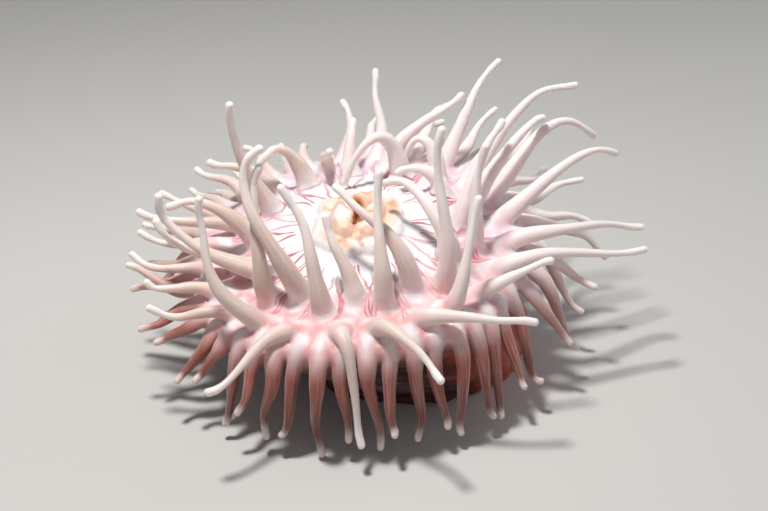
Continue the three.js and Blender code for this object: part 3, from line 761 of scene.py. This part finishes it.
flat = np.stack([ux + 0.9 * ripples(ux, uy, uz, 12, 7), uy + 0.9 * ripples(ux, uy, uz, 14, 8)], axis=1)
near_root = np.full(count, 40.0)
next_root = np.full(count, 40.0)
ink = np.full(count, 9.0)
for number, ring in enumerate(rings):
    i = number - rings.index(ring)
    a = math.radians(POSES[ring][i][0])
    outward = np.array([math.cos(a), math.sin(a)])
    root_at = outward * (RINGS[ring]["radius"] + 1.2)
    from_root = flat - root_at
    distance = np.sqrt((from_root ** 2).sum(1))
    gap = distance - SKIN_ROOTS[ring]
    next_root = np.minimum(next_root, np.maximum(gap, near_root))
    near_root = np.minimum(near_root, gap)
    if ring not in LINE_START:
        continue
    past_root = from_root @ outward
    start = LINE_START[ring] + 4 * scatter(number, 41)
    t = np.clip(1 + past_root / (root_at @ outward - start), 0, 1)
    across = np.abs(flat @ np.array([-outward[1], outward[0]]))
    wide = mix(0.9, SKIN_ROOTS[ring] + ARC_GAP, smoothstep(0.1, 1.0, t))
    line_past = LINE_PAST + LINE_PAST_RIGHT * max(math.cos(a + 0.7), 0) + 3 * scatter(number, 42)
    ends = 3 * (t == 0) + np.maximum(past_root - line_past, 0)
    for shift in (0.0, PAIR):
        ink = np.minimum(ink, np.abs(across - wide - shift * t) + ends)
    if ring == "inner":
        arc = np.abs(gap - ARC_GAP)
        arc += 3 * smoothstep(-0.5, 0.2, past_root / np.maximum(distance, 1))
        ink = np.minimum(ink, arc)

# What is painted where, from 0 to 1 at each corner of the skin. blush is the rose of the margin, lined
# where lines of pigment may show. Some are painted light and shade: salmon painted shade on what hangs
# at the front, deeper the lower it hangs, painted shade under the margin, and painted light on the
# column's right and on the tentacles at the right and the back.
on_top = smoothstep(44, 56, uz)
column = (1 - smoothstep(45.5, 50.5, uz)) * (1 - smoothstep(0, 0.3, free))
between = 1 - smoothstep(0.5, 6.5, next_root - near_root)
blush = on_top * smoothstep(28, 62, radius) * (1 - smoothstep(3.0, 10.0, near_root)) * mix(0.2, 1.0, between)
lip = (1 - smoothstep(13.5, 18.0, from_slit(ux, uy)[0])) * (own < 0)
crease = lip_crease(ux, uy) * lip
above = uz - MOUTH_HEIGHT
throat = (1 - smoothstep(0.2, 2.2, slit(ux, uy, above))) * (radius < MOUTH_RADIUS)
lined = on_top * smoothstep(20, 27, radius) * (1 - smoothstep(0.05, 0.4, free))
lined *= 1 - smoothstep(74, 78, radius)
lined *= mix(0.85, 1.0, smoothstep(-0.3, 0.7, np.cos(azimuth + 0.6)))
lined *= mix(1.0, 0.6, smoothstep(58, 68, radius)) * mix(0.6, 1.0, smoothstep(2.0, 6.0, next_root))
front = smoothstep(-0.5, 0.8, -np.sin(azimuth + 0.25))
# Painted light on the column's right side.
right = smoothstep(0.1, 0.95, np.cos(azimuth + 0.35))
# Painted light: the tentacles at the right and the back are painted whiter.
lit_tentacles = smoothstep(-0.3, 0.8, np.cos(azimuth - 0.35))
# Painted shade on the tentacles that hang at the front, below the margin, and how low they are, which deepens
# it.
shaded = hanging * smoothstep(-0.6, 0.45, -np.sin(azimuth + 0.2)) * (1 - smoothstep(40, 70, place[:, 2]))
sunk_shade = 1 - smoothstep(8, 50, place[:, 2])
# Painted shade under the margin.
under_shade = (1 - smoothstep(49, 57, uz)) * smoothstep(60, 66, radius) * (1 - free)

mesh = bpy.data.meshes.new("anemone_skin")
mesh.vertices.add(len(place))
mesh.vertices.foreach_set("co", (place * MM).astype(np.float32).ravel())
faces = quads[:, ::-1].astype(np.int32)
mesh.loops.add(faces.size)
mesh.loops.foreach_set("vertex_index", faces.ravel())
mesh.polygons.add(len(faces))
mesh.polygons.foreach_set("loop_start", np.arange(0, faces.size, 4, dtype=np.int32))
mesh.update(calc_edges=True)
mesh.validate()
mesh.shade_smooth()


def attribute(name, values, kind="FLOAT"):
    layer = mesh.attributes.new(name, kind, "POINT")
    key = "vector" if kind == "FLOAT_VECTOR" else "value"
    layer.data.foreach_set(key, np.ascontiguousarray(values, dtype=np.float32).ravel())


attribute("free", free)
attribute("share", share_along)
attribute("tone", tone)
attribute("ink", ink)
attribute("column", column)
attribute("blush", blush)
attribute("front", front)
attribute("lip", lip)
attribute("throat", throat)
attribute("crease", crease)
attribute("right", right)
attribute("lit_tentacles", lit_tentacles)
attribute("shaded", shaded)
attribute("sunk_shade", sunk_shade)
attribute("under_shade", under_shade)
attribute("lined", lined)
attribute("tube", tube, "FLOAT_VECTOR")
attribute("upright", np.stack([ux, uy, uz], axis=1), "FLOAT_VECTOR")

skin = bpy.data.objects.new("anemone_skin", mesh)
scene.collection.objects.link(skin)
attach(skin, "root")
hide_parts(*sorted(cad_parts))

# ---------------------------------------------------------------- materials


class Nodes:
    """Short ways to add nodes to a material."""

    def __init__(self, name):
        self.material = bpy.data.materials.new(name)
        self.material.use_nodes = True
        self.tree = self.material.node_tree
        self.shader = self.tree.nodes["Principled BSDF"]

    def put(self, socket, value):
        if isinstance(value, bpy.types.NodeSocket):
            self.tree.links.new(value, socket)
        elif isinstance(value, tuple) and len(value) == 3 and socket.type == "RGBA":
            socket.default_value = (*value, 1)
        else:
            socket.default_value = value

    def read(self, name, vector=False):
        node = self.tree.nodes.new("ShaderNodeAttribute")
        node.attribute_name = name
        return node.outputs["Vector" if vector else "Fac"]

    def math(self, operation, *values, clamp=False):
        node = self.tree.nodes.new("ShaderNodeMath")
        node.operation = operation
        node.use_clamp = clamp
        for socket, value in zip(node.inputs, values):
            self.put(socket, value)
        return node.outputs[0]

    def range(self, value, low, high, to_low=0.0, to_high=1.0):
        node = self.tree.nodes.new("ShaderNodeMapRange")
        node.interpolation_type = "SMOOTHSTEP"
        names = ("Value", "From Min", "From Max", "To Min", "To Max")
        for name, x in zip(names, (value, low, high, to_low, to_high)):
            self.put(node.inputs[name], x)
        return node.outputs["Result"]

    def mix(self, factor, a, b):
        node = self.tree.nodes.new("ShaderNodeMix")
        node.data_type = "RGBA"
        self.put(node.inputs[0], factor)
        self.put(node.inputs[6], a)
        self.put(node.inputs[7], b)
        return node.outputs[2]

    def noise(self, vector, scale, detail=3.0, roughness=0.55):
        node = self.tree.nodes.new("ShaderNodeTexNoise")
        self.put(node.inputs["Vector"], vector)
        self.put(node.inputs["Scale"], scale)
        self.put(node.inputs["Detail"], detail)
        self.put(node.inputs["Roughness"], roughness)
        return node.outputs[0]

    def stretch(self, vector, scale):
        node = self.tree.nodes.new("ShaderNodeMapping")
        self.put(node.inputs["Vector"], vector)
        self.put(node.inputs["Scale"], scale)
        return node.outputs["Vector"]

    def bump(self, height, strength, distance, normal=None):
        node = self.tree.nodes.new("ShaderNodeBump")
        self.put(node.inputs["Height"], height)
        self.put(node.inputs["Strength"], strength)
        self.put(node.inputs["Distance"], distance)
        if normal is not None:
            self.put(node.inputs["Normal"], normal)
        return node.outputs[0]


# Colours of the flesh.
BEIGE = (0.65, 0.52, 0.46)                # tentacles, in two tones
PALE_BEIGE = (0.73, 0.62, 0.57)
LIT_MILK = (0.88, 0.79, 0.80)                 # painted light on tentacles at the right and the back
TIP = (0.86, 0.80, 0.78)
PALE_STREAK = (0.84, 0.76, 0.73)
HAIR_LINE = (0.46, 0.29, 0.25)
SALMON_SHADE = (0.39, 0.108, 0.080)             # painted shade on tentacles that hang at the front
DEEP_SALMON_SHADE = (0.115, 0.024, 0.017)       # deeper painted shade on their lowest part
WARM_WHITE = (0.84, 0.81, 0.80)           # the disc
# cool painted shade in streaks on the disc
COOL_WHITE_SHADE = (0.73, 0.72, 0.76)
ROSE = (0.78, 0.50, 0.57)                 # the margin between the roots
FRONT_ROSE = (0.76, 0.31, 0.31)
# painted shade under the margin
UNDERSIDE_SHADE = (0.40, 0.16, 0.13)
CRIMSON = (0.44, 0.02, 0.07)              # lines of pigment
PEACH = (0.82, 0.63, 0.47)                # lips
CREAM = (0.82, 0.76, 0.72)
CREASE_ORANGE = (0.64, 0.28, 0.12)
THROAT_ORANGE = (0.60, 0.24, 0.09)
MAROON = (0.060, 0.007, 0.006)            # column
ORANGE_RED = (0.44, 0.048, 0.014)
SPECKLE = (0.045, 0.005, 0.007)
SCATTER_RADIUS = (1.0, 0.55, 0.45)        # how far red, green and blue light spread in the flesh


def flesh():
    n = Nodes("anemone_flesh")
    free, share, tone = n.read("free"), n.read("share"), n.read("tone")
    tube, upright_at = n.read("tube", True), n.read("upright", True)
    column_part, blush_part, front_part = n.read("column"), n.read("blush"), n.read("front")
    mottle = n.noise(upright_at, 0.16, 4.0)
    fine_mottle = n.noise(upright_at, 0.9, 3.0)
    streaks = n.noise(n.stretch(tube, (2.2, 2.2, 0.7)), 1.6, 3.0)
    hair = n.noise(n.stretch(tube, (6.0, 6.0, 0.9)), 1.5, 2.0)

    # Tentacles: beige-pink flesh, paler to the tip, with pale streaks and darker hair lines along them.
    # Those that hang at the front get salmon painted shade, deeper the lower they hang, down to their pale
    # tips.
    shade_part = n.math("MULTIPLY", n.read("shaded"), n.range(share, 0.80, 0.98, 1.0, 0.35))
    shade_color = n.mix(n.read("sunk_shade"), SALMON_SHADE, DEEP_SALMON_SHADE)
    tentacle = n.mix(n.range(tone, 0.0, 1.0), BEIGE, PALE_BEIGE)
    # Painted light: whiter milk on the tentacles at the right and the back.
    tentacle = n.mix(n.math("MULTIPLY", n.read("lit_tentacles"), 0.85), tentacle, LIT_MILK)
    tentacle = n.mix(n.range(share, 0.4, 0.98), tentacle, TIP)
    tentacle = n.mix(n.math("MULTIPLY", n.range(streaks, 0.45, 0.75), 0.5), tentacle, PALE_STREAK)
    tentacle = n.mix(n.math("MULTIPLY", shade_part, n.range(streaks, 0.35, 0.8, 1.0, 0.7)), tentacle, shade_color)
    tentacle = n.mix(n.math("MULTIPLY", n.range(hair, 0.5, 0.8), 0.32), tentacle, HAIR_LINE)

    # Disc: near white with faint cool streaks of painted shade, blushing towards the margin.
    disc = n.mix(n.range(mottle, 0.3, 0.7), WARM_WHITE, COOL_WHITE_SHADE)
    blush = n.math("MULTIPLY", blush_part, n.range(mottle, 0.3, 0.7, 0.55, 0.9))
    disc = n.mix(blush, disc, n.mix(front_part, ROSE, FRONT_ROSE))
    # Painted shade under the margin.
    disc = n.mix(n.read("under_shade"), disc, UNDERSIDE_SHADE)
    body = n.mix(free, disc, tentacle)

    # Lines of crimson round the roots.
    line_width = n.range(n.noise(upright_at, 0.12, 1.0), 0.3, 0.7, 0.40, 0.85)
    line = n.range(n.read("ink"), 0.1, line_width, 1.0, 0.0)
    patchy = n.range(n.noise(upright_at, 0.05, 1.0), 0.38, 0.6, 0.5, 1.0)
    line = n.math("MULTIPLY", n.math("MULTIPLY", line, patchy), n.read("lined"))
    body = n.mix(line, body, CRIMSON)

    # Lips and the slit of the mouth.
    lobe = n.mix(n.range(n.noise(upright_at, 0.09, 2.0), 0.35, 0.6), PEACH, CREAM)
    crease = n.math("MULTIPLY", n.read("crease"), n.range(mottle, 0.35, 0.65, 0.35, 0.9))
    lips_color = n.mix(crease, lobe, CREASE_ORANGE)
    body = n.mix(n.math("MULTIPLY", n.read("lip"), 0.92), body, lips_color)
    body = n.mix(n.read("throat"), body, THROAT_ORANGE)

    # Column: dark maroon, orange-red in patches, and more so on the right as painted light.
    patches_and_light = n.math("ADD", n.noise(upright_at, 0.035, 3.0), n.range(n.read("right"), 0.70, 1.0, 0.0, 0.24))
    column_color = n.mix(n.range(patches_and_light, 0.55, 0.78), MAROON, ORANGE_RED)
    speckle = n.math("MULTIPLY", n.range(fine_mottle, 0.45, 0.75), 0.4)
    column_color = n.mix(speckle, column_color, SPECKLE)
    body = n.mix(column_part, body, column_color)

    n.put(n.shader.inputs["Base Color"], body)
    rough = n.range(n.noise(upright_at, 0.4, 3.0), 0.3, 0.7, 0.34, 0.56)
    n.put(n.shader.inputs["Roughness"], rough)
    n.shader.inputs["Specular IOR Level"].default_value = 0.35
    n.shader.inputs["Sheen Weight"].default_value = 0.4
    n.shader.inputs["Sheen Roughness"].default_value = 0.35
    n.shader.inputs["Sheen Tint"].default_value = (1.0, 0.93, 0.90, 1)
    n.shader.inputs["Subsurface Weight"].default_value = 0.65
    n.shader.inputs["Subsurface Radius"].default_value = SCATTER_RADIUS
    n.shader.inputs["Subsurface Scale"].default_value = 0.005
    grain = n.bump(n.noise(upright_at, 2.2, 3.0), 0.25, 0.0004)
    wrinkle = n.noise(n.stretch(tube, (1.5, 1.5, 9.0)), 1.4, 2.0)
    n.put(n.shader.inputs["Normal"], n.bump(n.mix(free, (0.5, 0.5, 0.5), wrinkle), 0.3, 0.0005, grain))
    return n.material


mesh.materials.append(flesh())

# ---------------------------------------------------------------- floor and light

FLOOR_HALF = 12                 # from the middle of the floor to its edges, in metres
FLOOR_COLOR = (0.55, 0.54, 0.52, 1)

corners = [(x * FLOOR_HALF, y * FLOOR_HALF, 0) for x, y in ((-1, -1), (1, -1), (1, 1), (-1, 1))]
floor_mesh = bpy.data.meshes.new("floor")
floor_mesh.from_pydata(corners, [], [(0, 1, 2, 3)])
floor = bpy.data.objects.new("floor", floor_mesh)
scene.collection.objects.link(floor)
ground = Nodes("floor_paint")
ground.shader.inputs["Base Color"].default_value = FLOOR_COLOR
ground.shader.inputs["Roughness"].default_value = 0.85
floor_mesh.materials.append(ground.material)


def area_light(name, at, aim, size, power, color):
    data = bpy.data.lights.new(name, "AREA")
    data.energy = power
    data.size = size
    data.color = color
    light = bpy.data.objects.new(name, data)
    light.location = at
    light.rotation_euler = (Vector(aim) - Vector(at)).to_track_quat("-Z", "Y").to_euler()
    scene.collection.objects.link(light)


area_light(
    "key", at=(-0.17, -0.12, 0.85), aim=(-0.02, -0.02, 0.05), size=0.09, power=7.3, color=(1, 0.985, 0.96)
)
area_light("fill", at=(0.1, -1.1, 0.6), aim=(0, 0, 0.05), size=0.9, power=1.0, color=(0.96, 0.98, 1))
area_light("side", at=(0.9, 0.4, 0.5), aim=(0, 0, 0.06), size=0.6, power=2.2, color=(0.97, 0.98, 1))
world = bpy.data.worlds.new("studio")
world.use_nodes = True
world.node_tree.nodes["Background"].inputs[0].default_value = (0.92, 0.95, 1, 1)
world.node_tree.nodes["Background"].inputs[1].default_value = 0.22
scene.world = world

scene.view_settings.view_transform = "Standard"
